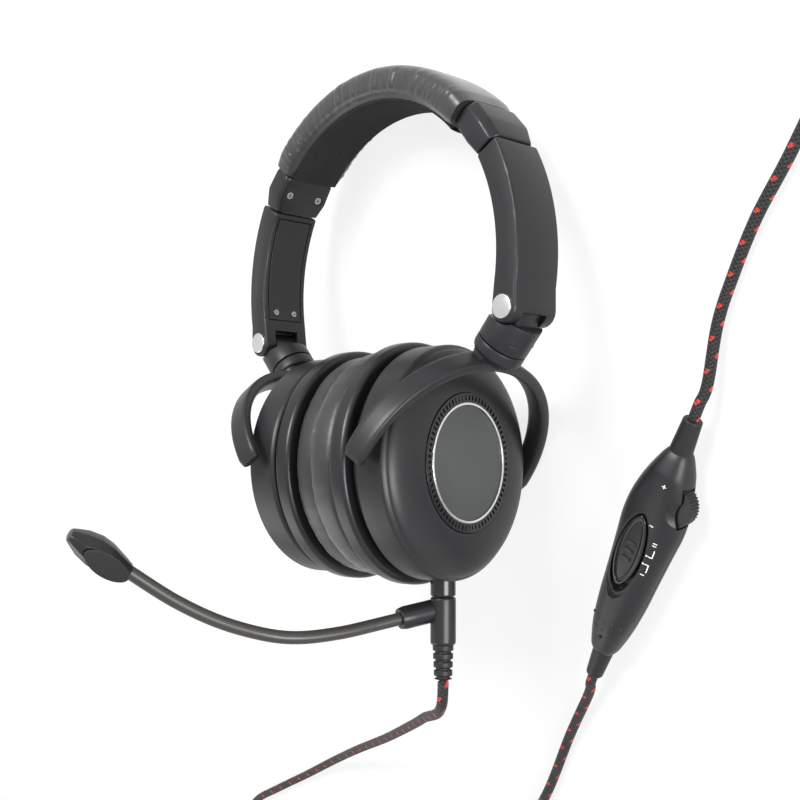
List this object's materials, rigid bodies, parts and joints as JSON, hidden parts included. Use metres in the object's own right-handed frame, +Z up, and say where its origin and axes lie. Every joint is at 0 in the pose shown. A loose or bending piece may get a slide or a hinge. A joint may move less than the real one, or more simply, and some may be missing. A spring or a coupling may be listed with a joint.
{
  "type": "aviation headset",
  "caption": "Over-ear aviation headset with padded band, folding arms, swivelling ear cups, boom microphone and braided cord with an in-line control box.",
  "frame": {"origin": "midway between the centres of the two ear cups", "axes": "+Z up from the table that the headset lies on, +Y along the table towards the crown of the headband, +X towards the wearer's left ear cup, which carries the boom"},
  "size_m": [0.4747, 0.4619, 0.1786],
  "materials": {
    "soft_black": "soft black leatherette, fine creases",
    "knit": "black knitted mesh lining",
    "satin_plastic": "satin black moulded plastic",
    "gloss_plastic": "glossy black moulded plastic",
    "steel": "bare steel strip",
    "chrome": "bright turned metal",
    "plate": "dark satin anodised plate",
    "rubber": "black ribbed rubber",
    "foam": "fine black foam",
    "braid": "black braid flecked with red",
    "board": "green circuit board",
    "brass": "plated contact pins",
    "dark_metal": "black screws"
  },
  "bodies": {
    "left_cup": {"left_housing": "satin_plastic", "left_rim_ring": "satin_plastic", "left_ear_cushion": "soft_black", "left_baffle": "knit", "left_driver": "dark_metal", "left_face_plate": "plate", "left_bright_ring": "chrome", "left_slotted_ring": "gloss_plastic", "jack_socket": "gloss_plastic", "box_cover": "satin_plastic", "box_base": "satin_plastic", "box_board": "board", "box_screws": "dark_metal", "box_lower_boot": "rubber", "box_upper_boot": "rubber", "cord_lower": "braid", "cord_upper": "braid", "cord_coil": "braid", "coil_tie": "rubber", "plug_boot": "rubber", "plug_body": "satin_plastic", "plug_pins": "brass"},
    "left_yoke": {"left_yoke": "satin_plastic"},
    "left_knuckle": {"left_knuckle": "satin_plastic"},
    "left_arm": {"left_arm_shell": "satin_plastic", "left_arm_cover": "satin_plastic", "left_arm_screws": "dark_metal", "left_slider_strip": "steel", "left_fold_pin": "chrome"},
    "left_cap": {"left_end_cap": "satin_plastic", "left_cap_screws": "dark_metal"},
    "right_cup": {"right_housing": "satin_plastic", "right_rim_ring": "satin_plastic", "right_ear_cushion": "soft_black", "right_baffle": "knit", "right_driver": "dark_metal", "right_face_plate": "plate", "right_bright_ring": "chrome", "right_slotted_ring": "gloss_plastic"},
    "right_yoke": {"right_yoke": "satin_plastic"},
    "right_knuckle": {"right_knuckle": "satin_plastic"},
    "right_arm": {"right_arm_shell": "satin_plastic", "right_arm_cover": "satin_plastic", "right_arm_screws": "dark_metal", "right_slider_strip": "steel", "right_fold_pin": "chrome"},
    "right_cap": {"right_end_cap": "satin_plastic", "right_cap_screws": "dark_metal"},
    "headband": {"head_pad": "soft_black", "pad_lining": "knit", "band_spring": "steel"},
    "boom": {"jack_plug": "chrome", "boom_joint": "gloss_plastic", "cord_boot": "rubber", "boom": "rubber", "mic_capsule": "satin_plastic", "mic_foam": "foam"},
    "wheel": {"volume_wheel": "satin_plastic"},
    "mute": {"mute_slider": "satin_plastic"}
  },
  "joints": [
    {"name": "left_tilt", "type": "hinge", "parent": "left_cup", "child": "left_yoke", "pos_m": [0.0317, 0, 0], "axis": [0.1558, 0.3242, 0.9331], "range_deg": [-8, 5], "deforming": ["left_ear_cushion", "right_ear_cushion"]},
    {"name": "left_swivel", "type": "hinge", "parent": "left_yoke", "child": "left_knuckle", "pos_m": [0.069, 0.04946, -0.01242], "axis": [0.6691, 0.7208, -0.181], "range_deg": [-12, 12], "deforming": ["left_ear_cushion", "right_ear_cushion"]},
    {"name": "left_fold", "type": "hinge", "parent": "left_knuckle", "child": "left_arm", "pos_m": [0.069, 0.04946, -0.01242], "axis": [0, 0.2436, 0.9699], "range_deg": [0, 15], "deforming": ["left_ear_cushion", "right_ear_cushion"]},
    {"name": "left_extend", "type": "slide", "parent": "left_arm", "child": "left_cap", "axis": [-0.5, 0.8399, -0.211], "range_m": [0, 0.02]},
    {"name": "left_flex", "type": "hinge", "parent": "left_cap", "child": "headband", "pos_m": [0.0534, 0.12017, -0.03018], "axis": [0, -0.2436, -0.9699], "range_deg": [0, 25], "stiffness_Nm_per_rad": 2, "deforming": ["band_spring"]},
    {"name": "right_flex", "type": "hinge", "parent": "headband", "child": "right_cap", "pos_m": [-0.0534, 0.12017, -0.03018], "axis": [0, -0.2436, -0.9699], "range_deg": [0, 19.04], "deforming": ["band_spring", "left_ear_cushion", "right_ear_cushion"]},
    {"name": "right_extend", "type": "slide", "parent": "right_cap", "child": "right_arm", "axis": [-0.5, -0.8399, 0.211], "range_m": [0, 0.02]},
    {"name": "right_fold", "type": "hinge", "parent": "right_arm", "child": "right_knuckle", "pos_m": [-0.069, 0.04946, -0.01242], "axis": [0, 0.2436, 0.9699], "range_deg": [0, 56], "deforming": ["left_ear_cushion", "right_ear_cushion"]},
    {"name": "right_swivel", "type": "hinge", "parent": "right_knuckle", "child": "right_yoke", "pos_m": [-0.069, 0.04946, -0.01242], "axis": [-0.6691, 0.7208, -0.181], "range_deg": [-12, 12], "deforming": ["left_ear_cushion", "right_ear_cushion"]},
    {"name": "right_tilt", "type": "hinge", "parent": "right_yoke", "child": "right_cup", "pos_m": [-0.0317, 0, 0], "axis": [0.1558, 0.3242, 0.9331], "range_deg": [-8, 5], "deforming": ["left_ear_cushion", "right_ear_cushion"]},
    {"name": "boom_swing", "type": "hinge", "parent": "left_cup", "child": "boom", "pos_m": [0.0301, -0.04461, 0.01121], "axis": [0, 0.9699, -0.2436], "range_deg": [-60, 90]},
    {"name": "wheel_turn", "type": "hinge", "parent": "left_cup", "child": "wheel", "pos_m": [0.09733, -0.02512, -0.0406], "axis": [0, 0, 1], "range_deg": [-140, 140]},
    {"name": "mute_slide", "type": "slide", "parent": "left_cup", "child": "mute", "axis": [-0.5299, -0.848, 0], "range_m": [0, 0.003]}
  ],
  "couplings": [
    {"joint": "right_flex", "follows": "right_fold", "ratio": 0.34}
  ]
}
